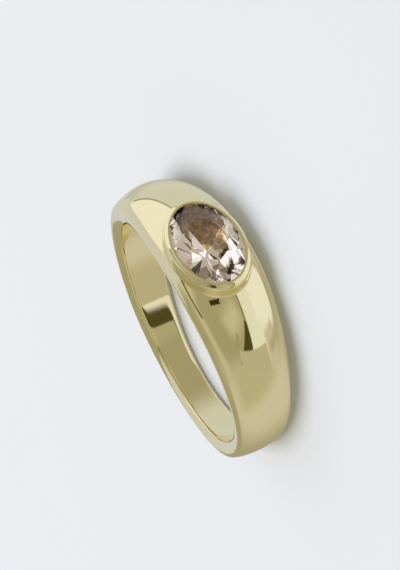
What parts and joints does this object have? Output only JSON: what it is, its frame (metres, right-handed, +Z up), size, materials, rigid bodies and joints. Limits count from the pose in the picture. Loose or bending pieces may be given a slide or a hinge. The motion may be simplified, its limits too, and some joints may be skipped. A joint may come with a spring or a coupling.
{
  "type": "solitaire ring",
  "caption": "Finger ring lying on its side: a domed band that widens to the head, with an oval faceted stone held in a low rubbed-over bezel.",
  "frame": {"origin": "middle of the bottom of the box round the ring, on the surface that it lies on", "axes": "+Z up from the surface, +Y from the stone towards the back of the shank, +X across, so that X = 0 is the plane of symmetry"},
  "size_m": [0.0208, 0.0218, 0.0064],
  "materials": {
    "gold": "polished pale gold",
    "morganite": "polished facets, clear pinkish brown"
  },
  "bodies": {
    "root": {"band": "gold", "stone": "morganite"}
  },
  "joints": []
}
